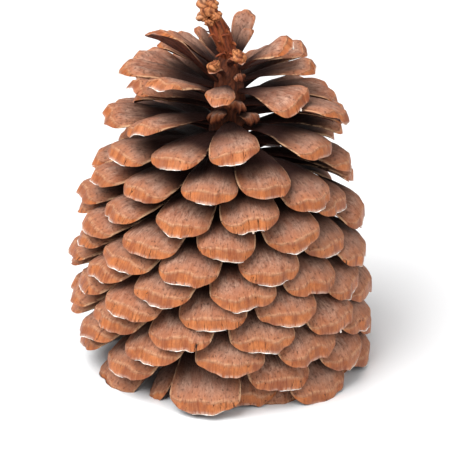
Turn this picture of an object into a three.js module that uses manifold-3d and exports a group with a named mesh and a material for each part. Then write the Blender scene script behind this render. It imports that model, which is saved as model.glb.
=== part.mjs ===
// An open pine cone that stands on its reflexed lowest scales, apex up.
// +Z is up and the front is -Y. The origin is the middle of the cone's outline on the surface it stands on.
// Lengths are in millimetres and angles in degrees. An azimuth is measured from the front, -Y, towards +X.
import * as THREE from "three";
import { mergeVertices } from "three/addons/utils/BufferGeometryUtils.js";
import Module from "manifold-3d";

const wasm = await Module();
wasm.setup();

// ---- The order of the scales: one spiral, turned by the golden angle from each scale to the next ----
const SCALE_COUNT = 156; // number 0 is the lowest scale, 155 the one nearest the apex
const GOLDEN_ANGLE = 137.50776;
const FIRST_AZIMUTH = -56.5;
const SPIRAL_STEP = 8; // a scale, the one 8 further on and the one 16 further on stand next to each other
const RUN_LENGTH = 3; // neighbouring scales that stay joined at their roots in one piece

const AXIS_X = 1.9; // the scales reach further to one side, so the axis stands beside the origin
const AXIS_Y = 0.2;

// ---- Profiles of the cone: each list holds a value for the scale numbers in STATIONS ----
const STATIONS = [0, 20, 40, 60, 80, 100, 120, 135, 147, 156];
const TIP_RADIUS = [45.5, 48, 48.4, 46.5, 44.5, 40.8, 37.2, 32.6, 24.3, 14];
const TIP_HEIGHT = [-2, 11, 24.5, 37, 49.5, 64.3, 84, 94, 104, 111];
const ROOT_HEIGHT = [18.5, 26.5, 36.5, 46.5, 56.5, 67.5, 80.5, 88.5, 95.5, 100];
const AXIS_RADIUS = [8.4, 8.2, 8, 7.8, 7.4, 6.8, 5.8, 4.8, 3.8, 2.9];
const SCALE_WIDTH = [20.3, 21, 20.8, 20, 18.8, 17.4, 16, 14, 10.5, 7];
const BOW = [0.13, 0.13, 0.13, 0.14, 0.15, 0.15, 0.12, 0.1, 0.06, 0.04]; // rise of the bow by length
const TIP_ARC = [0.19, 0.19, 0.19, 0.2, 0.22, 0.25, 0.25, 0.25, 0.3, 0.35]; // setback of a tip's corners
const SIDE_SLOPE = [0.15, 0.15, 0.15, 0.145, 0.12, 0.1, 0.06, 0.05, 0.04, 0.03]; // tips sink towards +X

// ---- How a scale stands ----
const ROOT_GAP = 0.35; // clearance between the axis and the root of a scale
const STEEP_ROOT_GAP = 0.5; // added near the apex, where the scales rise steeply along the axis
const LOWEST_TIP = 0.2; // the lowest tips stand on the surface, so their middle line ends at this height
const TUCK = 0.9; // how far such a tip draws in, as a share of how far it would have reached below
const SIDE_BOW = 0.35; // the scales are bowed more towards +X and less towards -X
const SIDE_REACH = 0.03; // and they reach less far towards +X and further towards -X
const BOW_AT = 0.58; // where the bow pulls, as a share of the length

// ---- The body of a scale ----
const CLAW_WIDTH_SHARE = 0.46; // width at the root, as a share of the distance from the middle of the cone
const ARCH_SHARE = 0.13; // fall of the side edges, as a share of the width
const LENGTH_ROWS = [0, 0.28, 0.62, 0.84, 1]; // places of the cross sections, from the root to the tip
const ROW_THICKNESS = [2.1, 1.6, 1.9, 3, 2.3];
const ROW_SINK = [0, 0, 0, 0, 1.3]; // the lip bends down past the crease
const RIM = [
  [-1, 0],
  [-0.55, 1],
  [0, 1],
  [0.55, 1],
  [1, 0],
  [0.3, -1],
  [-0.3, -1],
]; // around a section: place across the width, and top face (1), side edge (0) or under face (-1)
const SHOULDER_THICKNESS = 0.7; // share of the middle's thickness at the shoulders of a section

// ---- The rib that joins the roots of a run ----
const RIB_SECTION = [
  [0.25, -0.23],
  [0.25, 0.23],
  [1.5, 0.23],
  [1.5, -0.23],
]; // outward in millimetres, and sideways as a share of the root's width
const RIB_RISE = 0.15;

// ---- Scales that grew or broke differently: turn, tip radius, tip height and width ----
const SPECIAL_SCALES = {
  0: { tipHeight: LOWEST_TIP },
  3: { tipHeight: LOWEST_TIP },
  5: { turn: -7, tipRadius: 41, tipHeight: LOWEST_TIP, width: 15 },
  6: { tipHeight: LOWEST_TIP },
  10: { tipRadius: 42 },
  18: { tipHeight: 5, width: 22 },
  22: { tipHeight: 9.6 },
  105: { tipHeight: 67.5 },
  112: { turn: -4, tipHeight: 72 },
  125: { tipRadius: 13, tipHeight: 84.5, width: 6 }, // broken off
  126: { tipRadius: 29, tipHeight: 86.5, width: 12 },
  127: { tipRadius: 31, tipHeight: 85, width: 14 },
  128: { tipRadius: 12, tipHeight: 85, width: 6 }, // broken off
  133: { tipRadius: 12.5, tipHeight: 89, width: 6 }, // broken off
  130: { tipRadius: 38, tipHeight: 88, width: 16 },
  131: { tipRadius: 31, tipHeight: 96, width: 13 },
  135: { tipRadius: 33.5, tipHeight: 87, width: 15 },
  136: { tipRadius: 32, tipHeight: 102, width: 13 },
  138: { tipRadius: 28.5, tipHeight: 93.5, width: 15 },
  139: { tipRadius: 32, tipHeight: 98, width: 12 },
  141: { tipRadius: 27, tipHeight: 97.5, width: 9 },
  142: { tipRadius: 27, tipHeight: 100, width: 12 },
  143: { tipRadius: 26, tipHeight: 99.5, width: 11 },
  144: { tipRadius: 25, tipHeight: 114, width: 11 },
  145: { tipRadius: 19, tipHeight: 109, width: 7 },
  146: { tipRadius: 8.5, tipHeight: 97, width: 4 }, // broken off
  147: { tipRadius: 22, tipHeight: 103, width: 10 },
  148: { tipRadius: 25, tipHeight: 101, width: 10 },
  149: { tipRadius: 10.5, tipHeight: 100.5, width: 4.5 }, // shrivelled
  150: { tipRadius: 13, tipHeight: 104, width: 6 },
  151: { tipRadius: 20, tipHeight: 109, width: 9.5 },
  152: { tipRadius: 19, tipHeight: 110.5, width: 8 },
  153: { tipRadius: 9.5, tipHeight: 107, width: 5 },
  154: { tipRadius: 10.5, tipHeight: 104, width: 4.5 }, // shrivelled
  155: { tipRadius: 12.5, tipHeight: 107, width: 5.5 },
};

// ---- Axis and stalk ----
const STALK_BOTTOM = 11;
const STALK_TOP = 15;
const STALK_RADIUS = 4.2;
const SHOULDER_HEIGHT = 17.5; // where the stalk has widened to the full axis
const AXIS_TOP = 101;
const AXIS_TOP_RADIUS = 2;
const AXIS_SIDES = 16;
const BASAL_SCALE_COUNT = 13; // small closed scales around the stalk

// ---- The dried shoot at the apex: sideways offset, height and radius of each ring ----
const SHOOT_RINGS = [
  [-0.2, 101.4, 2.9],
  [-1.4, 105, 3.3],
  [-2.9, 109, 2.8],
  [-4.7, 113, 2.9],
  [-5.8, 115.4, 3.7],
  [-6.2, 118, 3.6],
  [-6.4, 120, 1.9],
];
const SHOOT_SIDES = 10;
const SHOOT_ROUGHNESS = 0.12; // how far its outline strays, as a share of the radius

const WOOD = { color: 0xa9683f, roughness: 0.75, metalness: 0 };
const DARK_WOOD = { color: 0x6b3420, roughness: 0.85, metalness: 0 };

// ---- Numbers ----

// A repeatable value from -1 to 1 for scale number i and property k.
function spread(i, k) {
  const x = Math.sin(i * 12.9898 + k * 78.233) * 43758.5453;
  return (x - Math.floor(x)) * 2 - 1;
}

// The value of a profile at scale number i, on straight lines between its stations.
function along(profile, i) {
  let k = 0;
  while (k < STATIONS.length - 2 && STATIONS[k + 1] < i) k += 1;
  const t = (i - STATIONS[k]) / (STATIONS[k + 1] - STATIONS[k]);
  return profile[k] + (profile[k + 1] - profile[k]) * t;
}

// ---- Solids ----

// The triangles that close a ring of points: a strip that zigzags between its two long sides.
function endTriangles(sides) {
  const triangles = [];
  let first = 0;
  let last = sides - 1;
  while (last - first > 1) {
    const onward = triangles.length % 2 === 0;
    const between = onward ? first + 1 : last - 1;
    triangles.push([first, between, last]);
    if (onward) first = between;
    else last = between;
  }
  return triangles;
}

// Joins closed rings of points, each with the same number of points, into one solid.
function loft(rings) {
  const positions = [];
  const place = (p) => positions.push(p.x, p.y, p.z);
  const sides = rings[0].length;
  for (let r = 0; r + 1 < rings.length; r += 1) {
    for (let k = 0; k < sides; k += 1) {
      const next = (k + 1) % sides;
      [rings[r][k], rings[r + 1][k], rings[r + 1][next]].forEach(place);
      [rings[r][k], rings[r + 1][next], rings[r][next]].forEach(place);
    }
  }
  const last = rings[rings.length - 1];
  endTriangles(sides).forEach(([a, b, c]) => {
    [rings[0][a], rings[0][b], rings[0][c]].forEach(place);
    [last[a], last[c], last[b]].forEach(place);
  });
  const geometry = new THREE.BufferGeometry();
  geometry.setAttribute("position", new THREE.Float32BufferAttribute(positions, 3));
  return solid(geometry);
}

// A closed geometry as a solid that can be joined and cut.
function solid(geometry) {
  geometry.deleteAttribute("normal");
  geometry.deleteAttribute("uv");
  const merged = mergeVertices(geometry, 1e-4);
  const triVerts = new Uint32Array(merged.index.array);
  const vertProperties = merged.attributes.position.array;
  return new wasm.Manifold(new wasm.Mesh({ numProp: 3, vertProperties, triVerts }));
}

function joined(pieces) {
  return pieces.reduce((whole, piece) => whole.add(piece));
}

// A solid as a named mesh.
function mesh(name, shape, finish) {
  const made = shape.getMesh();
  const geometry = new THREE.BufferGeometry();
  geometry.setAttribute("position", new THREE.BufferAttribute(made.vertProperties, 3));
  geometry.setIndex(new THREE.BufferAttribute(made.triVerts, 1));
  const flat = geometry.toNonIndexed();
  flat.computeVertexNormals();
  const result = new THREE.Mesh(flat, new THREE.MeshStandardMaterial({ ...finish, flatShading: true }));
  result.name = name;
  return result;
}

// ---- Scales ----

// Where scale number i stands, how far it reaches and how it is turned.
function scalePlan(i) {
  const special = SPECIAL_SCALES[i] ?? {};
  const azimuth = FIRST_AZIMUTH - GOLDEN_ANGLE * i + spread(i, 1) * 1.5 + (special.turn ?? 0);
  const side = Math.sin(THREE.MathUtils.degToRad(azimuth));
  const usualRadius = along(TIP_RADIUS, i) * (1 - SIDE_REACH * side) + spread(i, 2) * 1.2;
  const tipRadius = special.tipRadius ?? usualRadius;
  const sideways = tipRadius * side;
  const free = along(TIP_HEIGHT, i) - along(SIDE_SLOPE, i) * sideways + spread(i, 3) * 0.6;
  const tucked = Math.max(0, LOWEST_TIP - free);
  const steep = THREE.MathUtils.clamp((i - 125) / 30, 0, 1);
  const rootRadius = along(AXIS_RADIUS, i) + ROOT_GAP + STEEP_ROOT_GAP * steep;
  return {
    azimuth: THREE.MathUtils.degToRad(azimuth),
    rootRadius,
    rootHeight: along(ROOT_HEIGHT, i),
    tipRadius: tipRadius - tucked * TUCK,
    tipHeight: special.tipHeight ?? Math.max(free, LOWEST_TIP),
    rootWidth: rootRadius * CLAW_WIDTH_SHARE,
    width: special.width ?? along(SCALE_WIDTH, i) * (1 + spread(i, 5) * 0.03),
    bow: along(BOW, i) * (1 + SIDE_BOW * side),
    tipArc: along(TIP_ARC, i),
    roll: THREE.MathUtils.degToRad(spread(i, 6) * 3),
  };
}

// The middle line of a scale at share s of its length: radius, height and slope on a quadratic curve.
function middleLine(plan, s) {
  const reach = plan.tipRadius - plan.rootRadius;
  const rise = plan.tipHeight - plan.rootHeight;
  const bowR = plan.rootRadius + reach * BOW_AT - rise * plan.bow;
  const bowZ = plan.rootHeight + rise * BOW_AT + reach * plan.bow;
  const at = (a, b, c) => (1 - s) ** 2 * a + 2 * s * (1 - s) * b + s ** 2 * c;
  const slope = (a, b, c) => 2 * (1 - s) * (b - a) + 2 * s * (c - b);
  return {
    r: at(plan.rootRadius, bowR, plan.tipRadius),
    z: at(plan.rootHeight, bowZ, plan.tipHeight),
    angle: Math.atan2(
      slope(plan.rootHeight, bowZ, plan.tipHeight),
      slope(plan.rootRadius, bowR, plan.tipRadius),
    ),
  };
}

// Half the width of a scale at share s of its length: a claw that opens into a fan.
function halfWidth(plan, s) {
  const opening = THREE.MathUtils.smoothstep(s, -0.25, 0.85);
  const start = THREE.MathUtils.smoothstep(0, -0.25, 0.85);
  const share = (opening - start) / (1 - start);
  return (plan.rootWidth + (plan.width - plan.rootWidth) * share) / 2;
}

// The closed section of a scale in one row of its length, bent back at the sides along the arc of the tip.
function scaleSection(plan, row) {
  return RIM.map(([across, face]) => {
    const corner = 1 - plan.tipArc * (1 - Math.sqrt(Math.max(0, 1 - across * across)));
    const s = LENGTH_ROWS[row] * corner;
    const line = middleLine(plan, s);
    const edge = halfWidth(plan, s);
    const side = across * edge;
    const half = (ROW_THICKNESS[row] / 2) * (across === 0 ? 1 : SHOULDER_THICKNESS);
    const arch = ARCH_SHARE * 2 * edge * s * across * across;
    const lift = face * half - arch - ROW_SINK[row] * (1 - across * across);
    const u = side * Math.cos(plan.roll) - lift * Math.sin(plan.roll);
    const w = side * Math.sin(plan.roll) + lift * Math.cos(plan.roll);
    const r = line.r - w * Math.sin(line.angle);
    const z = line.z + w * Math.cos(line.angle);
    return new THREE.Vector3(
      r * Math.sin(plan.azimuth) + u * Math.cos(plan.azimuth),
      -r * Math.cos(plan.azimuth) + u * Math.sin(plan.azimuth),
      z,
    );
  });
}

function scaleSolid(plan) {
  return loft(LENGTH_ROWS.map((_, row) => scaleSection(plan, row)));
}

// The rib of wood that joins the roots of a run of scales.
function rootRib(plans) {
  return loft(
    plans.map((plan) =>
      RIB_SECTION.map(([out, side]) => {
        const r = plan.rootRadius + out;
        const u = side * plan.rootWidth;
        return new THREE.Vector3(
          r * Math.sin(plan.azimuth) + u * Math.cos(plan.azimuth),
          -r * Math.cos(plan.azimuth) + u * Math.sin(plan.azimuth),
          plan.rootHeight + RIB_RISE,
        );
      }),
    ),
  );
}

// Everything below the surface that the cone stands on.
const below = solid(new THREE.BoxGeometry(200, 200, 100).translate(0, 0, -50));

// A run of scales joined at their roots, cut flat where it stands on the surface.
function scaleRun(numbers) {
  const plans = numbers.map(scalePlan);
  const pieces = plans.map(scaleSolid);
  if (plans.length > 1) pieces.push(rootRib(plans));
  return joined(pieces).subtract(below);
}

// The numbers of the scales in each run: eight spirals, each cut into runs from the bottom up.
function runsOfScales() {
  const runs = [];
  for (let spiral = 0; spiral < SPIRAL_STEP; spiral += 1) {
    for (let first = spiral; first < SCALE_COUNT; first += SPIRAL_STEP * RUN_LENGTH) {
      const run = [];
      for (let k = 0; k < RUN_LENGTH; k += 1) {
        const i = first + k * SPIRAL_STEP;
        if (i < SCALE_COUNT) run.push(i);
      }
      runs.push(run);
    }
  }
  return runs.sort((a, b) => a[0] - b[0]);
}

// ---- Axis with its stalk, and the shoot at the apex ----

function axisShape() {
  const profile = [
    [0, STALK_BOTTOM],
    [STALK_RADIUS, STALK_BOTTOM],
    [STALK_RADIUS, STALK_TOP],
    [AXIS_RADIUS[0], SHOULDER_HEIGHT],
    ...STATIONS.map((_, k) => [AXIS_RADIUS[k], ROOT_HEIGHT[k]]),
    [AXIS_TOP_RADIUS, AXIS_TOP],
    [0, AXIS_TOP],
  ].map(([radius, height]) => new THREE.Vector2(radius, height));
  const core = new THREE.LatheGeometry(profile, AXIS_SIDES).rotateX(Math.PI / 2);
  const basalScales = Array.from({ length: BASAL_SCALE_COUNT }, (_, k) => basalScale(k));
  return joined([solid(core), ...basalScales]);
}

// One of the small closed scales that sit around the stalk, under the large ones.
function basalScale(k) {
  return scaleSolid({
    azimuth: THREE.MathUtils.degToRad(FIRST_AZIMUTH + GOLDEN_ANGLE * (k + 1)),
    rootRadius: 3.4,
    rootHeight: 17.4 - k * 0.18,
    tipRadius: 15.5 - k * 0.45,
    tipHeight: 13.2 - k * 0.12,
    rootWidth: 4,
    width: 7,
    bow: 0.14,
    tipArc: 0.25,
    roll: 0,
  });
}

// The leaning bundle of dried shoots with its crumpled knob.
function shootShape() {
  const ring = ([offset, height, radius], row) =>
    Array.from({ length: SHOOT_SIDES }, (_, k) => {
      const turn = (k / SHOOT_SIDES) * 2 * Math.PI;
      const r = radius * (1 + SHOOT_ROUGHNESS * spread(row, 20 + k));
      return new THREE.Vector3(offset + r * Math.cos(turn), -r * Math.sin(turn), height);
    });
  return loft(SHOOT_RINGS.map(ring));
}

// ---- The cone ----

const cone = new THREE.Group();
cone.position.set(AXIS_X, AXIS_Y, 0);
cone.add(mesh("cone_axis", axisShape(), DARK_WOOD));
cone.add(mesh("apex_shoot", shootShape(), DARK_WOOD));

runsOfScales().forEach((numbers) => {
  const name = "scales_" + numbers.map((i) => String(i).padStart(3, "0")).join("_");
  cone.add(mesh(name, scaleRun(numbers), WOOD));
});

const part = new THREE.Group();
part.name = "pine_cone";
part.add(cone);

export default part;
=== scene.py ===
from math import pi, radians

import bpy
import numpy as np
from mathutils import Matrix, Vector


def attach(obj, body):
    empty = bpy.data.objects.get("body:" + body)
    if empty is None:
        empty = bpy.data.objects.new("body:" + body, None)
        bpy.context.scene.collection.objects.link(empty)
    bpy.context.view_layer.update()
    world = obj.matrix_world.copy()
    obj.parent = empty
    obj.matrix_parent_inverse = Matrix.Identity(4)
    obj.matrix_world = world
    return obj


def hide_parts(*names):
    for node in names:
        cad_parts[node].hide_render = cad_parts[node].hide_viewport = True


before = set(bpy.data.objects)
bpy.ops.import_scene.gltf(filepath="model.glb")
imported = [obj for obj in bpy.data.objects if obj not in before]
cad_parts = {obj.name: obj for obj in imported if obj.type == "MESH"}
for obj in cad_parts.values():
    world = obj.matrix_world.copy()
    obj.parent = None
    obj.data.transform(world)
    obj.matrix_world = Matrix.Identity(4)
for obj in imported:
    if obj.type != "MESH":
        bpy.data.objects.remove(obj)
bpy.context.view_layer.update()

# ---- The table and the studio ----
# The cone stands on a smooth white table under a soft white room light, with one large soft lamp
# high on the left in front and a weak one on the right. None of this belongs to the cone.
TABLE_HALF = 4.0
TABLE_WHITE = (0.9, 0.9, 0.905, 1)
TABLE_ROUGHNESS = 0.28
ROOM_LIGHT = 0.5
LAMPS = (  # name, place, what it points at, edge length, power
    ("lamp_left", (-0.65, -0.6, 1.35), (0.0, 0.0, 0.04), 1.3, 40.0),
    ("lamp_right", (0.9, -1.0, 0.9), (0.0, 0.0, 0.05), 1.0, 7.0),
)
CAMERA_AIM = Vector((0.0038, -0.0069, 0.0435))
CAMERA_DISTANCE = 0.75
CAMERA_ELEVATION = 25.0
CAMERA_LENS = 183.8


def point_at(obj, place, aim):
    obj.location = Vector(place)
    obj.rotation_euler = (Vector(aim) - Vector(place)).to_track_quat("-Z", "Y").to_euler()


scene = bpy.context.scene
scene.view_settings.view_transform = "Standard"
world = bpy.data.worlds.new("room")
world.use_nodes = True
world.node_tree.nodes["Background"].inputs["Color"].default_value = (1, 1, 1, 1)
world.node_tree.nodes["Background"].inputs["Strength"].default_value = ROOM_LIGHT
scene.world = world

for name, place, aim, edge, power in LAMPS:
    lamp = bpy.data.lights.new(name, "AREA")
    lamp.size = edge
    lamp.energy = power
    lamp_object = bpy.data.objects.new(name, lamp)
    scene.collection.objects.link(lamp_object)
    point_at(lamp_object, place, aim)

camera = bpy.data.cameras.new("camera")
camera.lens = CAMERA_LENS
camera.clip_end = 20
camera_object = bpy.data.objects.new("camera", camera)
scene.collection.objects.link(camera_object)
up = np.sin(radians(CAMERA_ELEVATION))
back = np.cos(radians(CAMERA_ELEVATION))
point_at(camera_object, CAMERA_AIM + CAMERA_DISTANCE * Vector((0, -back, up)), CAMERA_AIM)
scene.camera = camera_object

table_mesh = bpy.data.meshes.new("table_top")
h = TABLE_HALF
table_mesh.from_pydata([(-h, -h, 0), (h, -h, 0), (h, h, 0), (-h, h, 0)], [], [(0, 1, 2, 3)])
table = bpy.data.objects.new("table_top", table_mesh)
scene.collection.objects.link(table)
table_finish = bpy.data.materials.new("white_table")
table_finish.use_nodes = True
table_shader = table_finish.node_tree.nodes["Principled BSDF"]
table_shader.inputs["Base Color"].default_value = TABLE_WHITE
table_shader.inputs["Roughness"].default_value = TABLE_ROUGHNESS
table_mesh.materials.append(table_finish)

# ---- The large scales ----
# 156 woody scales, each grown from the axis as a narrow claw that opens into a broad arched blade.
# The blade ends in a blunt lip with a smooth orange-brown face; the wood is dry, fibrous and matt.
SCALE_COUNT = 156
GOLDEN_ANGLE = 137.50776
FIRST_AZIMUTH = -56.5
AXIS_PLACE = np.array([0.0019, 0.0002, 0.0])
MM = 0.001

# Each profile holds a value for the scale numbers in STATIONS, in millimetres or as a share.
STATIONS = (0, 20, 40, 60, 80, 100, 120, 135, 147, 156)
TIP_RADIUS = (45.5, 48, 48.4, 46.5, 44.5, 40.8, 37.2, 32.6, 24.3, 14)
TIP_HEIGHT = (-2, 11, 24.5, 37, 49.5, 64.3, 84, 94, 104, 111)
ROOT_HEIGHT = (18.5, 26.5, 36.5, 46.5, 56.5, 67.5, 80.5, 88.5, 95.5, 100)
AXIS_RADIUS = (8.4, 8.2, 8, 7.8, 7.4, 6.8, 5.8, 4.8, 3.8, 2.9)
SCALE_WIDTH = (20.3, 21, 20.8, 20, 18.8, 17.4, 16, 14, 10.5, 7)
BOW = (0.13, 0.13, 0.13, 0.14, 0.15, 0.15, 0.12, 0.1, 0.06, 0.04)
TIP_ARC = (0.19, 0.19, 0.19, 0.2, 0.22, 0.25, 0.25, 0.25, 0.3, 0.35)
SIDE_SLOPE = (0.15, 0.15, 0.15, 0.145, 0.12, 0.1, 0.06, 0.05, 0.04, 0.03)
LOWEST_TIP = 0.2
TUCK = 0.9  # how far a tip draws in for each millimetre that it is held up by the table
LOPSIDED = 0.03  # the share by which the left side stands out further than the right
BOW_LOPSIDED = 0.35
BOW_PLACE = 0.58
CLAW_WIDTH = 0.46  # of the root's distance from the middle of the axis
OPENING = (-0.25, 0.85)  # the stretch of its length over which a claw widens into the blade
ROOT_GAP, APEX_GAP = 0.35, 0.5
APEX_FIRST, APEX_SPAN = 125, 30
CROWN_FIRST, CROWN_SPAN = 112, 12

# How far a scale strays from the rule each way: degrees, millimetres, and a share of the width.
STRAY_TURN, STRAY_ROLL, STRAY_TWIST = 1.5, 3, 7
STRAY_RADIUS, STRAY_HEIGHT, STRAY_SWAY = 1.2, 0.6, 0.9
STRAY_WIDTH = 0.03
BROKEN = (125, 128, 133, 146)
SHRIVELLED = (149, 154)

# Scales that grew or broke differently: their own turn, tip radius, tip height, width, twist or sway.
SPECIAL_SCALES = {
    0: dict(height=LOWEST_TIP),
    3: dict(height=LOWEST_TIP),
    5: dict(turn=-7, radius=41, height=LOWEST_TIP, width=10, twist=38, sway=-4.5),
    6: dict(height=LOWEST_TIP),
    10: dict(radius=42),
    18: dict(height=5, width=22),
    22: dict(height=9.6),
    105: dict(height=67.5),
    112: dict(turn=-4, height=72),
    125: dict(radius=13, height=84.5, width=6),
    126: dict(radius=29, height=86.5, width=12),
    127: dict(radius=31, height=85, width=14),
    128: dict(radius=12, height=85, width=6),
    130: dict(radius=38, height=88, width=16),
    131: dict(radius=31, height=96, width=13),
    133: dict(radius=12.5, height=89, width=6),
    135: dict(radius=33.5, height=87, width=15),
    136: dict(radius=32, height=102, width=13),
    138: dict(radius=28.5, height=93.5, width=15),
    139: dict(radius=32, height=98, width=12),
    141: dict(radius=27, height=97.5, width=9),
    142: dict(radius=27, height=100, width=12),
    143: dict(radius=26, height=99.5, width=11),
    144: dict(radius=25, height=114, width=11),
    145: dict(radius=19, height=109, width=7),
    146: dict(radius=8.5, height=97, width=4),
    147: dict(radius=22, height=103, width=10),
    148: dict(radius=25, height=101, width=10),
    149: dict(radius=10.5, height=100.5, width=4.5),
    150: dict(radius=13, height=104, width=6),
    151: dict(radius=20, height=109, width=9.5),
    152: dict(radius=19, height=110.5, width=8),
    153: dict(radius=9.5, height=107, width=5),
    154: dict(radius=10.5, height=104, width=4.5, sway=2.4),
    155: dict(radius=12.5, height=107, width=5.5),
}


def spread(i, k):
    """A repeatable value from -1 to 1 for scale number i and property k."""
    x = np.sin(i * 12.9898 + k * 78.233) * 43758.5453
    return float((x - np.floor(x)) * 2 - 1)


def part_way(i, first, span):
    """0 up to scale number first, 1 from span numbers later, and in proportion between them."""
    return min(max((i - first) / span, 0), 1)


def scale_plan(i):
    """Where scale number i stands, how far it reaches and how it is turned, in millimetres and radians."""
    own = SPECIAL_SCALES.get(i, {})
    along = lambda profile: float(np.interp(i, STATIONS, profile))
    azimuth = radians(FIRST_AZIMUTH - GOLDEN_ANGLE * i + spread(i, 1) * STRAY_TURN + own.get("turn", 0))
    side = np.sin(azimuth)
    usual = along(TIP_RADIUS) * (1 - LOPSIDED * side) + spread(i, 2) * STRAY_RADIUS
    radius = own.get("radius", usual)
    free = along(TIP_HEIGHT) - along(SIDE_SLOPE) * radius * side + spread(i, 3) * STRAY_HEIGHT
    root_radius = along(AXIS_RADIUS) + ROOT_GAP + APEX_GAP * part_way(i, APEX_FIRST, APEX_SPAN)
    return dict(
        number=i,
        azimuth=azimuth,
        root_radius=root_radius,
        root_height=along(ROOT_HEIGHT),
        tip_radius=radius - max(0, LOWEST_TIP - free) * TUCK,
        tip_height=own.get("height", max(free, LOWEST_TIP)),
        root_width=root_radius * CLAW_WIDTH,
        width=own.get("width", along(SCALE_WIDTH) * (1 + spread(i, 5) * STRAY_WIDTH)),
        bow=along(BOW) * (1 + BOW_LOPSIDED * side),
        tip_arc=along(TIP_ARC),
        roll=radians(spread(i, 6) * STRAY_ROLL),
        twist=radians(own.get("twist", spread(i, 7) * STRAY_TWIST)),
        sway=own.get("sway", spread(i, 8) * STRAY_SWAY),
        broken=i in BROKEN,
    )


def middle_line(plan, s):
    """Radius, height and slope of a scale's middle at share s of its length: a quadratic curve from
    the root to the tip, pulled outward and up by the bow."""
    reach = plan["tip_radius"] - plan["root_radius"]
    rise = plan["tip_height"] - plan["root_height"]
    bow_r = plan["root_radius"] + reach * BOW_PLACE - rise * plan["bow"]
    bow_z = plan["root_height"] + rise * BOW_PLACE + reach * plan["bow"]
    at = lambda a, b, c: (1 - s) ** 2 * a + 2 * s * (1 - s) * b + s**2 * c
    slope = lambda a, b, c: 2 * (1 - s) * (b - a) + 2 * s * (c - b)
    r = at(plan["root_radius"], bow_r, plan["tip_radius"])
    z = at(plan["root_height"], bow_z, plan["tip_height"])
    dr = slope(plan["root_radius"], bow_r, plan["tip_radius"])
    dz = slope(plan["root_height"], bow_z, plan["tip_height"])
    return r, z, np.arctan2(dz, dr)


def smooth(x, low, high):
    """0 below low, 1 above high, and the cubic 3x^2 - 2x^3 between them."""
    t = np.clip((x - low) / (high - low), 0, 1)
    return t * t * (3 - 2 * t)


def half_width(plan, s):
    """Half the width at share s of the length: the claw's width, opening into the blade's."""
    start = smooth(0.0, *OPENING)
    share = (smooth(s, *OPENING) - start) / (1 - start)
    return (plan["root_width"] + (plan["width"] - plan["root_width"]) * share) / 2


def ripple(x, y, seed):
    """A soft uneven field from -1 to 1: the mean of three sine waves that cross at odd angles."""
    a = np.sin(x * 1.0 + y * 0.37 + seed * 1.7)
    b = np.sin(x * -0.53 + y * 0.91 + seed * 2.9)
    c = np.sin(x * 0.81 - y * 1.27 + seed * 4.3)
    return (a + b + c) / 3


def placed(plan, s, side, lift):
    """Points at share s along a scale, side millimetres across it and lift millimetres above its
    middle, turned about the scale's own line by its roll, which a twist adds to along the length,
    swayed to one side towards the tip, and turned about the axis by its azimuth. Nothing goes below
    the table."""
    r, z, angle = middle_line(plan, s)
    roll = plan["roll"] + plan["twist"] * s
    u = side * np.cos(roll) - lift * np.sin(roll) + plan["sway"] * s * s
    w = side * np.sin(roll) + lift * np.cos(roll)
    r = r - w * np.sin(angle)
    z = z + w * np.cos(angle)
    az = plan["azimuth"]
    x = r * np.sin(az) + u * np.cos(az)
    y = -r * np.cos(az) + u * np.sin(az)
    return np.stack([x, y, np.maximum(z, 0.0)], axis=-1) * MM + AXIS_PLACE


ROWS, COLUMNS = 50, 33
LENGTH_SHARES = (0, 0.28, 0.62, 0.84, 1)
HALF_THICKNESS = (1.05, 0.8, 0.9, 1.35, 1.15)
ROW_START, ROW_SPAN = -0.035, 1.035
ROOT_ROUNDING = 0.06
FULL_REACH = 1.045
LIP_WAVES = ((0.03, 2.6, 3), (0.018, 7, 0), (0.010, 17, 5))  # size, pace across the scale, seed
TORN_WAVES = ((0.22, 11, 0), (0.16, 31, 5))
ARCH = 0.13
LIP_SINK, BLADE_SINK = 1.2, 0.25
CREASE_DEPTH, CREASE_STRAY = 0.082, 0.014
RIDGE_HEIGHT, RIDGE_REACH = 0.16, 0.014
GROOVE_DEPTH, GROOVE_PACE = 0.05, 4.2
KEEL_DEPTH, KEEL_REACH = 0.55, 0.16
FOLD_SIZES, CURL_SIZE, CROWN_WIDTH = (0.9, 0.5), 2.2, 16


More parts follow.
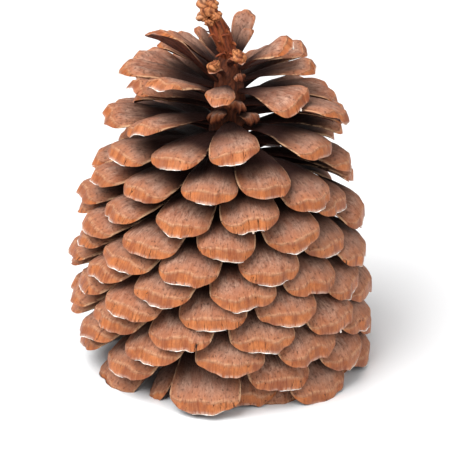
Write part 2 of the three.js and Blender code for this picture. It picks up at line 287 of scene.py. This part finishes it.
def scale_faces(plan, rows=ROWS, columns=COLUMNS):
    """The top and under face of a scale on one grid, rows along its length and columns across it,
    and how each point is finished.

    A row is set back at the sides along the arc of the tip, which is uneven, and ragged on a broken
    scale. The faces stand half a thickness above and below a middle that falls at the side edges and
    dips at the lip, and that is folded and curled on the scales of the crown. Past the crease the
    top face slopes down to meet the under face in the lip, and both meet at the sides and the root.
    """
    i = plan["number"]
    row = ROW_START + ROW_SPAN * (1 - (1 - np.linspace(0, 1, rows)) ** 1.7)[:, None]
    a = np.sin(np.linspace(-1, 1, columns) * pi / 2)[None, :]
    inner = 1 - a * a
    arc = 0.9 * (1 - (1 - np.abs(a) ** 2.4) ** 0.55)
    waves = TORN_WAVES if plan["broken"] else LIP_WAVES
    rough = sum(size * ripple(a * pace, a * 0, i + seed) for size, pace, seed in waves)
    reach = FULL_REACH - plan["tip_arc"] * arc + rough * (1 - np.abs(a) ** 6)
    s = row * np.where(row > 0, reach, 1.0)
    edge = half_width(plan, s) * (1 + 0.025 * ripple(s * 14, s * 0, i + 9))
    side = a * edge
    length = np.hypot(plan["tip_radius"] - plan["root_radius"], plan["tip_height"] - plan["root_height"])

    ends = np.sqrt(np.clip(1 - (1 - (row - ROW_START) / ROOT_ROUNDING).clip(0, 1) ** 2, 0, 1))
    half = np.interp(row, LENGTH_SHARES, HALF_THICKNESS) * min(1, 0.55 + plan["width"] / 30)
    half = half * (0.42 + 0.58 * inner) * np.sqrt(1 - np.abs(a) ** 12) * ends
    sink = (LIP_SINK * smooth(row, 0.8, 1.0) + BLADE_SINK * smooth(row, 0.3, 0.7)) * inner
    arch = ARCH * 2 * edge * s * a * a
    uneven = 0.16 * ripple(side * 0.9, s * length * 0.45, i) * smooth(row, 0.1, 0.5)
    crown = part_way(i, CROWN_FIRST, CROWN_SPAN)
    wide_fold = FOLD_SIZES[0] * np.sin(a * 2.6 + 2 * spread(i, 31))
    close_fold = FOLD_SIZES[1] * np.sin(a * 6.1 + 3 * spread(i, 32))
    curl = CURL_SIZE * spread(i, 33) * smooth(row, 0.45, 1.0) * a
    bent = crown * ((wide_fold + close_fold) * smooth(row, 0.25, 0.9) + curl) * plan["width"] / CROWN_WIDTH
    middle = uneven - arch - sink + bent

    crease = 1 - (CREASE_DEPTH + CREASE_STRAY * ripple(a * 5, a * 0, i + 2)) * inner**0.6
    past = np.clip((row - crease) / np.maximum(1 - crease, 1e-6), 0, 1)
    if plan["broken"]:
        past = past * 0 + (row >= 1)
    ridge = RIDGE_HEIGHT * np.exp(-(((row - crease) / RIDGE_REACH) ** 2)) * inner**0.5
    grooves = GROOVE_DEPTH * np.sin(side * GROOVE_PACE + 2 * ripple(side * 0.8, s * 9, i))
    grooves = grooves * smooth(row, 0.05, 0.3) * (past == 0)
    top = middle + half * (1 - 1.85 * past**1.35) + (ridge + grooves) * (1 - past) * ends
    keel = KEEL_DEPTH * np.exp(-((a / KEEL_REACH) ** 2)) * np.clip(4 * s * (1 - s), 0, 1) * ends
    under = middle - half * 0.85 - keel * (1 - past)
    under[-1] = top[-1]
    under[0] = top[0]
    under[:, 0] = top[:, 0]
    under[:, -1] = top[:, -1]

    torn = 1.0 if plan["broken"] else 0.0
    side_margin = smooth(np.abs(a), 0.55, 0.97) * smooth(row, 0.3, 0.7)
    spread_out = lambda values: np.broadcast_to(values, top.shape)
    looks = dict(
        band=smooth(past, 0.0, 0.22) * (1 - torn),
        # crease and rim mark where a painted highlight runs along the crease ridge and the side rims.
        crease=np.exp(-(((row - crease) / 0.011) ** 2)) * inner**0.3 * (1 - torn),
        rim=smooth(np.abs(a), 0.93, 0.995) * smooth(row, 0.35, 0.8),
        margin=np.maximum(side_margin, smooth(row - crease, -0.13, 0.0)),
        lip=smooth(past, 0.72, 1.0) * np.exp(-((a / 0.45) ** 2)),
        # inward also carries painted shade: it grows towards the axis, where the scales above shade each
        # scale, and is weaker on the crown.
        inward=(1 - np.clip(s, 0, 1)) * (1 - 0.4 * crown),
        torn=spread_out(smooth(row, 0.8, 1.0) * torn),
        tone=spread_out(0.5 + 0.5 * spread(i, 11)),
    )
    grain = np.stack([side + 37.0 * (i % 13) + 500, s * length + 53.0 * (i % 11) + 500], axis=-1)
    return placed(plan, s, side, top), placed(plan, s, side, under), looks, grain


def closed_grid(top, under, looks, grain):
    """One closed skin from two faces of a scale that share their outline.

    The under face uses the top's points on the outline, so the skin closes there. It returns the
    points, the four corners of each face, the finish of each point and the grain of each corner.
    """
    rows, columns = top.shape[:2]
    above = np.arange(rows * columns).reshape(rows, columns)
    below = above.copy()
    inside = np.zeros((rows, columns), bool)
    inside[1:-1, 1:-1] = True
    below[inside] = rows * columns + np.arange(inside.sum())
    points = np.concatenate([top.reshape(-1, 3), under[inside]])
    quads = lambda g: np.stack([g[:-1, :-1], g[:-1, 1:], g[1:, 1:], g[1:, :-1]], axis=-1).reshape(-1, 4)
    corners = np.concatenate([quads(above)[:, ::-1], quads(below)])
    cells = quads(np.arange(rows * columns).reshape(rows, columns))
    flat = grain.reshape(-1, 2)
    corner_grain = np.concatenate([flat[cells[:, ::-1]], flat[cells] + 211.0])
    finish = {k: np.concatenate([v.ravel(), v[inside]]) for k, v in looks.items()}
    finish["under"] = np.concatenate([np.zeros(rows * columns), np.ones(inside.sum())])
    outline = ~inside
    finish["under"][: rows * columns][outline.ravel()] = 0.35
    finish["under"][: rows * columns].reshape(rows, columns)[-1] = 0.0
    return points, corners, finish, corner_grain


def skin_object(name, skins, finish_material):
    """One smooth mesh object from several closed skins, with their finishes as attributes and their
    grain as the UV map "grain"."""
    starts = np.cumsum([0] + [len(p) for p, *_ in skins])
    points = np.concatenate([p for p, *_ in skins])
    corners = np.concatenate([c + start for (_, c, *_), start in zip(skins, starts)])
    made = bpy.data.meshes.new(name)
    made.vertices.add(len(points))
    made.vertices.foreach_set("co", points.astype(np.float32).ravel())
    made.loops.add(corners.size)
    made.loops.foreach_set("vertex_index", corners.astype(np.int32).ravel())
    made.polygons.add(len(corners))
    made.polygons.foreach_set("loop_start", np.arange(0, corners.size, 4, dtype=np.int32))
    made.update(calc_edges=True)
    made.polygons.foreach_set("use_smooth", np.ones(len(corners), bool))
    for key in skins[0][2]:
        layer = made.attributes.new(key, "FLOAT", "POINT")
        values = np.concatenate([f[key] for _, _, f, _ in skins])
        layer.data.foreach_set("value", values.astype(np.float32))
    grain_map = made.uv_layers.new(name="grain")
    grain = np.concatenate([g.reshape(-1, 2) for *_, g in skins])
    grain_map.uv.foreach_set("vector", grain.astype(np.float32).ravel())
    made.materials.append(finish_material)
    made.validate()
    piece = bpy.data.objects.new(name, made)
    scene.collection.objects.link(piece)
    return piece


def shade(hex_colour):
    """A colour written as six hexadecimal digits, turned into linear light."""
    c = np.array([int(hex_colour[k : k + 2], 16) / 255 for k in (0, 2, 4)])
    linear = np.where(c <= 0.04045, c / 12.92, ((c + 0.055) / 1.055) ** 2.4)
    return (*(float(v) for v in linear), 1.0)


def wire(tree, source, target):
    tree.links.new(source, target)


def math_node(tree, operation, first, second):
    """A Math node whose inputs are sockets or numbers; gives its output."""
    node = tree.nodes.new("ShaderNodeMath")
    node.operation = operation
    for socket, value in zip(node.inputs, (first, second)):
        if isinstance(value, (int, float)):
            socket.default_value = value
        else:
            wire(tree, value, socket)
    return node.outputs[0]


def times(tree, first, second):
    return math_node(tree, "MULTIPLY", first, second)


def mix_node(tree, share, first, second):
    """A colour mix from first to second by share, each a socket, a number or a colour; gives its output."""
    node = tree.nodes.new("ShaderNodeMix")
    node.data_type = "RGBA"
    for socket, value in ((node.inputs["Factor"], share), (node.inputs[6], first), (node.inputs[7], second)):
        if isinstance(value, (int, float, tuple)):
            socket.default_value = value
        else:
            wire(tree, value, socket)
    return node.outputs[2]


def noise_node(tree, vector, scale, detail, roughness, distortion=0.0):
    node = tree.nodes.new("ShaderNodeTexNoise")
    node.inputs["Scale"].default_value = scale
    node.inputs["Detail"].default_value = detail
    node.inputs["Roughness"].default_value = roughness
    node.inputs["Distortion"].default_value = distortion
    wire(tree, vector, node.inputs["Vector"])
    return node.outputs["Fac"]


def ramp_node(tree, value, low, high):
    """0 where value is at or under low, 1 at or over high, smooth between; gives its output."""
    node = tree.nodes.new("ShaderNodeMapRange")
    node.interpolation_type = "SMOOTHSTEP"
    node.inputs["From Min"].default_value = low
    node.inputs["From Max"].default_value = high
    wire(tree, value, node.inputs["Value"])
    return node.outputs["Result"]


def stretched(tree, vector, across, lengthwise):
    node = tree.nodes.new("ShaderNodeMapping")
    node.inputs["Scale"].default_value = (across, lengthwise, 1)
    wire(tree, vector, node.inputs["Vector"])
    return node.outputs["Vector"]


def new_group(name, inputs, outputs):
    """An empty shader node group with those sockets; gives the group and its two end nodes."""
    group = bpy.data.node_groups.new(name, "ShaderNodeTree")
    for socket, kind in inputs:
        group.interface.new_socket(name=socket, in_out="INPUT", socket_type=kind)
    for socket, kind in outputs:
        group.interface.new_socket(name=socket, in_out="OUTPUT", socket_type=kind)
    return group, group.nodes.new("NodeGroupInput"), group.nodes.new("NodeGroupOutput")


def value_of(tree, name):
    """The number attribute of that name on the piece."""
    node = tree.nodes.new("ShaderNodeAttribute")
    node.attribute_name = name
    return node.outputs["Fac"]


# Dry wood's grain: long fibres that run with the piece, dark specks, fine grit and cloudy patches.
wood_grain, grain_in, grain_out = new_group(
    "wood_grain",
    [("Grain", "NodeSocketVector")],
    [(kind, "NodeSocketFloat") for kind in ("Fibre", "Specks", "Grit", "Patches", "Height")],
)
grain_vector = grain_in.outputs["Grain"]
coarse = noise_node(wood_grain, stretched(wood_grain, grain_vector, 0.85, 0.11), 1.0, 5, 0.66, 0.3)
fine = noise_node(wood_grain, stretched(wood_grain, grain_vector, 2.6, 0.3), 1.0, 3, 0.6)
fibre = math_node(wood_grain, "ADD", times(wood_grain, coarse, 0.6), times(wood_grain, fine, 0.4))
speck_field = noise_node(wood_grain, stretched(wood_grain, grain_vector, 1.5, 0.9), 1.0, 3, 0.7)
specks = ramp_node(wood_grain, speck_field, 0.55, 0.68)
grit_field = noise_node(wood_grain, stretched(wood_grain, grain_vector, 0.7, 0.4), 1.0, 6, 0.8)
wire(wood_grain, ramp_node(wood_grain, grit_field, 0.36, 0.64), grain_out.inputs["Grit"])
height = math_node(wood_grain, "ADD", fibre, times(wood_grain, grit_field, 0.6))
height = math_node(wood_grain, "SUBTRACT", height, times(wood_grain, specks, 0.3))
wire(wood_grain, fibre, grain_out.inputs["Fibre"])
wire(wood_grain, specks, grain_out.inputs["Specks"])
patch_field = noise_node(wood_grain, stretched(wood_grain, grain_vector, 0.2, 0.1), 1.0, 4, 0.6)
wire(wood_grain, patch_field, grain_out.inputs["Patches"])
wire(wood_grain, height, grain_out.inputs["Height"])


def new_finish(name, coat_weight=0.0, coat_roughness=0.3):
    """A matt material, with a clear coat if asked; gives the material, its tree and its shader."""
    finish = bpy.data.materials.new(name)
    finish.use_nodes = True
    shader = finish.node_tree.nodes["Principled BSDF"]
    shader.inputs["Coat Weight"].default_value = coat_weight
    shader.inputs["Coat Roughness"].default_value = coat_roughness
    shader.inputs["Specular IOR Level"].default_value = 0.25
    return finish, finish.node_tree, shader


def grain_of(tree):
    """The outputs of the wood_grain group, fed by the piece's own grain map, and the map itself."""
    grain_map = tree.nodes.new("ShaderNodeUVMap")
    grain_map.uv_map = "grain"
    group = tree.nodes.new("ShaderNodeGroup")
    group.node_tree = wood_grain
    wire(tree, grain_map.outputs["UV"], group.inputs["Grain"])
    return group.outputs, grain_map.outputs["UV"]


def bump(tree, shader, height, strength, distance):
    node = tree.nodes.new("ShaderNodeBump")
    node.inputs["Strength"].default_value = strength
    node.inputs["Distance"].default_value = distance
    wire(tree, height, node.inputs["Height"])
    wire(tree, node.outputs["Normal"], shader.inputs["Normal"])


UPPER_LIGHT = shade("cfa28a")
UPPER_DARK = shade("6b3d2c")
UPPER_RED = shade("9a5436")
UPPER_GREY = shade("93705f")
MARGIN = shade("b0673d")
# The next colour is painted shade for the inner part of each scale, not a colour of the wood.
INNER_SHADE = shade("2a110a")
SPECK = shade("3a2018")
BAND_ORANGE = shade("b4642f")
BAND_BROWN = shade("7c3c21")
BAND_PALE = shade("cf8f5e")
# The next colour is a painted highlight for the edges that catch the light.
EDGE_HIGHLIGHT = shade("e2b68e")
CRACK = shade("2a120a")
RESIN = shade("ece2d8")
UNDER_LIGHT = shade("6a3524")
UNDER_DARK = shade("240f08")
TORN_WOOD = shade("8d4c26")

scale_wood, tree, shader = new_finish("scale_wood")
grain, grain_vector = grain_of(tree)
band = value_of(tree, "band")
under = value_of(tree, "under")
fibre = ramp_node(tree, grain["Fibre"], 0.36, 0.64)
patches = ramp_node(tree, grain["Patches"], 0.42, 0.62)
grit = grain["Grit"]
streaks = math_node(tree, "ADD", times(tree, fibre, 0.55), times(tree, grit, 0.45))
colour = mix_node(tree, streaks, UPPER_DARK, UPPER_LIGHT)
colour = mix_node(tree, times(tree, patches, 0.5), colour, UPPER_RED)
colour = mix_node(tree, times(tree, value_of(tree, "tone"), 0.45), colour, UPPER_GREY)
margin_strength = math_node(tree, "ADD", times(tree, fibre, 0.4), 0.35)
margin = times(tree, value_of(tree, "margin"), margin_strength)
colour = mix_node(tree, margin, colour, MARGIN)
# Painted shade: each scale darkens towards the axis, into the gaps where the scales above shade it.
painted_inner_shade = ramp_node(tree, value_of(tree, "inward"), 0.08, 0.44)
colour = mix_node(tree, painted_inner_shade, colour, INNER_SHADE)
colour = mix_node(tree, times(tree, grain["Specks"], 0.55), colour, SPECK)
face = mix_node(tree, patches, BAND_ORANGE, BAND_BROWN)
face = mix_node(tree, times(tree, fibre, 0.35), face, BAND_PALE)
face = mix_node(tree, times(tree, math_node(tree, "SUBTRACT", 1.0, grit), 0.55), face, BAND_BROWN)
colour = mix_node(tree, times(tree, band, 0.9), colour, face)
broken_line = ramp_node(tree, grain["Fibre"], 0.42, 0.55)
# Painted highlight: a pale broken line along the side rims and, weaker, the crease ridge, where the edges
# catch the light.
edges = math_node(tree, "MAXIMUM", value_of(tree, "rim"), times(tree, value_of(tree, "crease"), 0.5))
edges = times(tree, edges, times(tree, broken_line, 0.8))
colour = mix_node(tree, edges, colour, EDGE_HIGHLIGHT)
crack_field = noise_node(tree, stretched(tree, grain_vector, 0.42, 0.05), 1.0, 3, 0.6, 0.4)
crack_gap = math_node(tree, "ABSOLUTE", math_node(tree, "SUBTRACT", crack_field, 0.47), 0.0)
crack_line = math_node(tree, "SUBTRACT", 1.0, ramp_node(tree, crack_gap, 0.001, 0.006))
crack_zone = ramp_node(tree, math_node(tree, "ADD", band, times(tree, patches, -0.7)), 0.55, 0.85)
cracks = times(tree, crack_line, crack_zone)
colour = mix_node(tree, cracks, colour, CRACK)
dried = times(tree, value_of(tree, "lip"), ramp_node(tree, grain["Fibre"], 0.40, 0.52))
colour = mix_node(tree, times(tree, dried, 0.3), colour, RESIN)
colour = mix_node(tree, value_of(tree, "torn"), colour, mix_node(tree, fibre, UNDER_LIGHT, TORN_WOOD))
beneath = mix_node(tree, fibre, UNDER_DARK, UNDER_LIGHT)
colour = mix_node(tree, under, colour, beneath)
wire(tree, colour, shader.inputs["Base Color"])
gloss = times(tree, band, -0.30)
gloss = math_node(tree, "ADD", gloss, times(tree, fibre, 0.14))
gloss = math_node(tree, "ADD", gloss, times(tree, under, 0.10))
wire(tree, math_node(tree, "ADD", gloss, 0.66), shader.inputs["Roughness"])
grained = math_node(tree, "SUBTRACT", 1.0, times(tree, band, 0.7))
relief = times(tree, grain["Height"], grained)
relief = math_node(tree, "SUBTRACT", relief, times(tree, cracks, 0.9))
bump(tree, shader, relief, 0.85, 0.0008)

for node_name in sorted(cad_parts):
    if not node_name.startswith("scales_"):
        continue
    numbers = [int(n) for n in node_name.split("_")[1:]]
    skins = [closed_grid(*scale_faces(scale_plan(i))) for i in numbers]
    piece = skin_object(node_name.replace("scales", "scale_blades"), skins, scale_wood)
    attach(piece, "root")
    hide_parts(node_name)

# ---- The axis with its stalk and basal scales ----
# The woody core of the cone, thickest a little above its stalk and tapering to the apex, rough with
# the bases of the scales. Around the stub of the stalk sit small scales that never opened.
CORE_DARK = shade("331409")
CORE_LIGHT = shade("7a4028")
CORE_PATCH = shade("58301f")
AXIS_LEVELS = (11, 11.8, 15, 17.5, *ROOT_HEIGHT, 101)
AXIS_RADII = (3.4, 4.2, 4.2, 8.4, *AXIS_RADIUS, 2.0)
BASAL_SCALES = 13
AXIS_RINGS, AXIS_SIDES = 160, 48
KNUCKLES_TO_THE_TURN = 8


def round_skin(rings, seed, fold=0.0):
    """One closed skin from rings of points: the sides join each ring to the next, and each end is
    closed by strips of four-cornered faces across its ring. fold says how far each point stands
    out of the creases around it."""
    rows, sides = rings.shape[:2]
    at = np.arange(rows * sides).reshape(rows, sides)
    around = np.roll(at, -1, axis=1)
    walls = np.stack([at[:-1], around[:-1], around[1:], at[1:]], axis=-1).reshape(-1, 4)
    j = np.arange(sides // 2 - 1)
    strip = np.stack([j, j + 1, sides - 2 - j, sides - 1 - j], axis=-1)
    corners = np.concatenate([walls, strip[:, ::-1], strip + (rows - 1) * sides])
    step = np.linalg.norm(np.diff(rings.mean(axis=1), axis=0), axis=-1) / MM
    lengthwise = np.concatenate([[0], np.cumsum(step)])[:, None] + np.zeros(sides)
    centre = rings.mean(axis=1, keepdims=True)
    girth = np.linalg.norm(rings - centre, axis=-1) / MM
    turn = np.abs(np.linspace(-pi, pi, sides, endpoint=False))
    grain = np.stack([girth * turn + 41.0 * seed, lengthwise + 67.0 * seed], axis=-1).reshape(-1, 2)
    looks = dict(fold=(np.zeros((rows, sides)) + fold).ravel())
    return rings.reshape(-1, 3), corners, looks, grain[corners]


def axis_rings():
    """Rings up the axis whose radius follows its profile, with low knuckles in the order of the
    scales: one wave that winds up the axis, eight to the turn."""
    level = np.linspace(AXIS_LEVELS[0], AXIS_LEVELS[-1], AXIS_RINGS)[:, None]
    turn = np.linspace(0, 2 * pi, AXIS_SIDES, endpoint=False)[None, :]
    radius = np.interp(level, AXIS_LEVELS, AXIS_RADII)
    knuckles = 0.22 * np.sin(KNUCKLES_TO_THE_TURN * turn + level * 0.9) * smooth(level, 17, 22)
    radius = radius + knuckles + 0.12 * ripple(level * 2.1, turn * 6, 3) * (1 + np.cos(turn)) / 2
    x = radius * np.cos(turn)
    y = radius * np.sin(turn)
    return np.stack([x, y, level + 0 * turn], axis=-1) * MM + AXIS_PLACE


core_wood, tree, shader = new_finish("core_wood")
grain, _ = grain_of(tree)
fibre = ramp_node(tree, grain["Fibre"], 0.38, 0.62)
colour = mix_node(tree, fibre, CORE_DARK, CORE_LIGHT)
colour = mix_node(tree, times(tree, grain["Patches"], 0.4), colour, CORE_PATCH)
wire(tree, colour, shader.inputs["Base Color"])
wire(tree, math_node(tree, "ADD", times(tree, fibre, 0.2), 0.66), shader.inputs["Roughness"])
bump(tree, shader, grain["Height"], 0.8, 0.0005)

axis_piece = skin_object("axis_core", [round_skin(axis_rings(), 1)], core_wood)
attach(axis_piece, "root")
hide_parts("cone_axis")


def basal_plan(k):
    """Where the small scale number k sits on the stalk, in the same terms as a large one."""
    return dict(
        number=200 + k,
        azimuth=radians(FIRST_AZIMUTH + GOLDEN_ANGLE * (k + 1)),
        root_radius=3.4,
        root_height=17.4 - k * 0.18,
        tip_radius=15.5 - k * 0.45,
        tip_height=13.2 - k * 0.12,
        root_width=4,
        width=7,
        bow=0.14,
        tip_arc=0.25,
        roll=0.0,
        twist=0.0,
        sway=0.0,
        broken=False,
    )


basal_skins = [closed_grid(*scale_faces(basal_plan(k), 24, 17)) for k in range(BASAL_SCALES)]
basal_piece = skin_object("basal_scales", basal_skins, scale_wood)
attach(basal_piece, "root")
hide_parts("cone_axis")

# ---- The shoot at the apex ----
# A bundle of dried stalks, twisted and leaning, that ends in a crumpled knob, with torn fibres
# standing out of it. Soft bark, dark red-brown below and orange to cream where the knob is rubbed.
STALK_ENDS = (  # foot and head of each stalk as sideways offsets from the bundle's middle, and its thickness
    ((-1.5, -1.0), (-1.1, -0.6), 1.25),
    ((0.9, -1.5), (0.3, -1.2), 1.3),
    ((1.6, 0.9), (1.1, 0.4), 1.2),
    ((-0.8, 1.6), (-0.5, 1.1), 1.25),
)
BUNDLE_LINE = ((96.0, 0.0), (101.4, -0.2), (105, -1.4), (109, -2.9), (113, -4.7), (116.6, -6.0))
KNOBS = (  # place beside the axis, height, radius
    (-7.6, -0.4, 117.4, 2.3),
    (-5.0, -0.7, 117.2, 2.2),
    (-6.4, -1.6, 115.7, 2.3),
    (-6.0, 1.4, 116.2, 2.2),
    (-8.0, -0.9, 113.6, 2.0),
    (-3.7, -1.7, 114.0, 2.0),
    (-5.9, -2.3, 112.2, 1.5),
)
STRANDS = 26
STALK_FOOT, STALK_RISE = 96.0, 20.6
STALK_RINGS, STALK_SIDES = 46, 28
SHOOT_DARK = shade("3a160b")
SHOOT_LIGHT = shade("9a4c2b")
SHOOT_PATCH = shade("b96a3a")
KNOB_DARK = shade("8f4c29")
KNOB_LIGHT = shade("c27f50")
KNOB_RUBBED = shade("dcb692")
# The next colour is painted shade in the creases of the knob.
KNOB_CREASE_SHADE = shade("4a1c0e")


def lean_at(level):
    """How far the middle of the bundle leans sideways at a height."""
    return np.interp(level, [z for z, _ in BUNDLE_LINE], [x for _, x in BUNDLE_LINE])


def tube_rings(path, radius, sides):
    """Rings of the given radius around each point of a path, square to it."""
    ahead = np.gradient(path, axis=0)
    ahead /= np.linalg.norm(ahead, axis=1, keepdims=True)
    across = np.cross(ahead, np.array([0.31, 0.95, 0.05]))
    across /= np.linalg.norm(across, axis=1, keepdims=True)
    upward = np.cross(ahead, across)
    turn = np.linspace(0, 2 * pi, sides, endpoint=False)
    ring = np.cos(turn)[None, :, None] * across[:, None] + np.sin(turn)[None, :, None] * upward[:, None]
    return path[:, None, :] + ring * np.asarray(radius).reshape(len(path), -1, 1)


def stalk_rings(number, foot, head, thickness):
    """Rings up one stalk of the bundle: its middle goes from foot to head around the leaning line of
    the bundle, and its outline is ribbed lengthwise and knotted."""
    t = np.linspace(0, 1, STALK_RINGS)
    level = STALK_FOOT + t * STALK_RISE
    x = lean_at(level) + foot[0] + (head[0] - foot[0]) * t + 0.35 * np.sin(t * 7 + number * 2)
    y = foot[1] + (head[1] - foot[1]) * t + 0.35 * np.cos(t * 6 + number)
    path = np.stack([x, y, level], axis=-1)
    turn = np.linspace(0, 2 * pi, STALK_SIDES, endpoint=False)[None, :]
    t = t[:, None]
    ribs = 0.13 * np.sin(7 * turn + number + 2.2 * t) + 0.10 * ripple(t * 22, turn * 3, number)
    return tube_rings(path, thickness * (1 + ribs), STALK_SIDES) * MM + AXIS_PLACE


def strand_rings(k):
    """Rings along one torn fibre: it leaves the bundle at its own height, bends away outward and
    ends in a point. Its reach, bend and thickness differ from fibre to fibre."""
    t = np.linspace(0, 1, 14)
    foot = 99.0 + 8.5 * (0.5 + 0.5 * spread(k, 41))
    turn = GOLDEN_ANGLE * k * pi / 180 + 0.25 * np.sin(t * 4 + k)
    out = 1.4 + (2.6 + 1.8 * spread(k, 42)) * t**1.4
    level = foot + (3.0 + 2.2 * spread(k, 43)) * t - 1.6 * t**3 * (1 + spread(k, 44))
    path = np.stack([lean_at(level) + out * np.cos(turn), out * np.sin(turn), level], axis=-1)
    radius = (0.5 + 0.18 * spread(k, 45)) * np.sqrt(1 - t**2 + 0.004)
    return tube_rings(path, radius, 8) * MM + AXIS_PLACE


def knob_skin(x, y, z, radius, seed):
    """A crumpled ball: rings over a sphere whose radius folds in along crossing waves."""
    polar = np.linspace(0.12, pi - 0.12, 26)[:, None]
    turn = np.linspace(0, 2 * pi, 36, endpoint=False)[None, :]
    swirl = 2.2 * np.sin(1.7 * polar + seed) + 1.1 * ripple(polar * 3.1, np.cos(turn) * 2.3, seed)
    wave = np.abs(np.sin(2 * turn + swirl)) * (0.55 + 0.45 * ripple(polar * 5, np.sin(turn) * 4, seed + 2))
    fold = np.maximum(wave, 0) ** 0.6 * np.sin(polar)
    r = radius * (0.74 + 0.34 * fold + 0.13 * ripple(polar * 4, np.cos(turn) * 4, seed))
    ball = [np.sin(polar) * np.cos(turn), np.sin(polar) * np.sin(turn), -np.cos(polar) + 0 * turn]
    ball = np.stack(ball, axis=-1)
    return round_skin((ball * r[..., None] + np.array([x, y, z])) * MM + AXIS_PLACE, seed, fold)


dried_shoot, tree, shader = new_finish("dried_shoot")
grain, _ = grain_of(tree)
fibre = ramp_node(tree, grain["Fibre"], 0.36, 0.62)
patches = ramp_node(tree, grain["Patches"], 0.5, 0.7)
colour = mix_node(tree, fibre, SHOOT_DARK, SHOOT_LIGHT)
colour = mix_node(tree, times(tree, patches, 0.5), colour, SHOOT_PATCH)
wire(tree, colour, shader.inputs["Base Color"])
wire(tree, math_node(tree, "ADD", times(tree, fibre, 0.25), 0.5), shader.inputs["Roughness"])
bump(tree, shader, grain["Height"], 0.9, 0.0005)

knob_bark, tree, shader = new_finish("knob_bark")
grain, _ = grain_of(tree)
fibre = ramp_node(tree, grain["Fibre"], 0.38, 0.60)
patches = ramp_node(tree, grain["Patches"], 0.54, 0.70)
colour = mix_node(tree, fibre, KNOB_DARK, KNOB_LIGHT)
colour = mix_node(tree, times(tree, patches, 0.6), colour, KNOB_RUBBED)
# Painted shade: the creases between the folds of the knob darken where the folds shade them.
creases = math_node(tree, "SUBTRACT", 1.0, ramp_node(tree, value_of(tree, "fold"), 0.05, 0.55))
colour = mix_node(tree, times(tree, creases, 0.85), colour, KNOB_CREASE_SHADE)
wire(tree, colour, shader.inputs["Base Color"])
wire(tree, math_node(tree, "ADD", times(tree, fibre, 0.2), 0.45), shader.inputs["Roughness"])
bump(tree, shader, grain["Height"], 0.8, 0.0005)

stalk_skins = [round_skin(stalk_rings(n, *ends), n + 2) for n, ends in enumerate(STALK_ENDS)]
stalk_skins += [round_skin(strand_rings(k), k + 7) for k in range(STRANDS)]
shoot_piece = skin_object("shoot_stalks", stalk_skins, dried_shoot)
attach(shoot_piece, "root")
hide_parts("apex_shoot")

knob_skins = [knob_skin(*place, seed=n + 9.3) for n, place in enumerate(KNOBS)]
knob_piece = skin_object("shoot_knob", knob_skins, knob_bark)
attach(knob_piece, "root")
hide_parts("apex_shoot")

# ---- The curled tips of the shrivelled scales ----
# Two scales beside the shoot never opened: their tips dried into small orange curls, each made of
# two crumpled lobes of the same rubbed bark as the knob.
CURLS = {  # place of each lobe beside the tip, and its radius
    149: ((0, 0, 0, 2.1), (0.7, -0.9, 1.5, 1.3)),
    154: ((0, 0, 0, 2.2), (-1.0, 0.4, 1.3, 1.4)),
}
CURL_PLACE = 0.94


def tip_of(plan):
    return (placed(plan, np.float64(CURL_PLACE), np.float64(0), np.float64(0)) - AXIS_PLACE) / MM


curl_skins = []
for number, lobes in CURLS.items():
    tip = tip_of(scale_plan(number))
    curl_skins += [knob_skin(*(tip + lobe[:3]), lobe[3], seed=number + n) for n, lobe in enumerate(lobes)]
# The curls share the knob's finish, with its painted shade in their creases.
curl_piece = skin_object("curled_tips", curl_skins, knob_bark)
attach(curl_piece, "root")

# ---- Dried resin ----
# Clear resin ran to the lowest point of many lips and dried there into a thin whitish line, with a
# drop on a few of the scales.
DROPS = (138, 151, 99, 49)
LIP_ROWS, LIP_POINTS = 12, 41
LIP_MIDDLE = LIP_POINTS // 2
FIRST_LINED, LINED_ABOVE = 8, -0.5
RESIN_DARK = shade("c9b3a0")
RESIN_LIGHT = shade("f6f2ee")


def lip_edge(i):
    """The points along the lip of scale number i."""
    top, _, _, _ = scale_faces(scale_plan(i), LIP_ROWS, LIP_POINTS)
    return top[-1]


def resin_line(i):
    """A thin uneven thread along the middle of a lip: rings of a slowly changing radius along the
    lip's lowest edge, which end in points."""
    share = 0.20 + 0.16 * abs(spread(i, 21))
    middle = LIP_MIDDLE + int(round(3 * spread(i, 22)))
    reach = max(3, int(round(LIP_MIDDLE * share)))
    path = lip_edge(i)[middle - reach : middle + reach + 1] + np.array([0, 0, -0.12 * MM])
    t = np.linspace(0, 1, len(path))
    radius = (0.05 + 0.13 * np.sin(pi * t) * (0.75 + 0.5 * ripple(t * 16, t * 0, i))) * MM
    rings = tube_rings(path, np.maximum(radius, 0.03 * MM), 6)
    rings[..., 2] = np.maximum(rings[..., 2], 0.0)
    return round_skin(rings, i)


def resin_drop(i):
    """A hanging drop below the middle of a lip: a ball drawn out upward into a point."""
    t = np.linspace(0.06, 0.98, 9)
    radius = 0.45 * np.sin(pi * t) ** 0.8 * (1.1 - 0.75 * t) * MM
    path = lip_edge(i)[LIP_MIDDLE] + np.stack([0 * t, 0 * t, (-0.9 + 1.2 * t) * MM], axis=-1)
    return round_skin(tube_rings(path, radius, 10), i)


resin, tree, shader = new_finish("resin", coat_weight=0.25, coat_roughness=0.25)
place = tree.nodes.new("ShaderNodeTexCoord").outputs["Object"]
clouds = noise_node(tree, place, 900.0, 3, 0.6)
colour = mix_node(tree, ramp_node(tree, clouds, 0.4, 0.65), RESIN_DARK, RESIN_LIGHT)
wire(tree, colour, shader.inputs["Base Color"])
wire(tree, math_node(tree, "ADD", times(tree, clouds, 0.4), 0.2), shader.inputs["Roughness"])
bump(tree, shader, clouds, 0.4, 0.0002)

whole = [i for i in range(FIRST_LINED, SCALE_COUNT) if i not in BROKEN + SHRIVELLED]
lined = [i for i in whole if spread(i, 23) > LINED_ABOVE]
resin_skins = [resin_line(i) for i in lined] + [resin_drop(i) for i in DROPS]
resin_piece = skin_object("resin_drops", resin_skins, resin)
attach(resin_piece, "root")
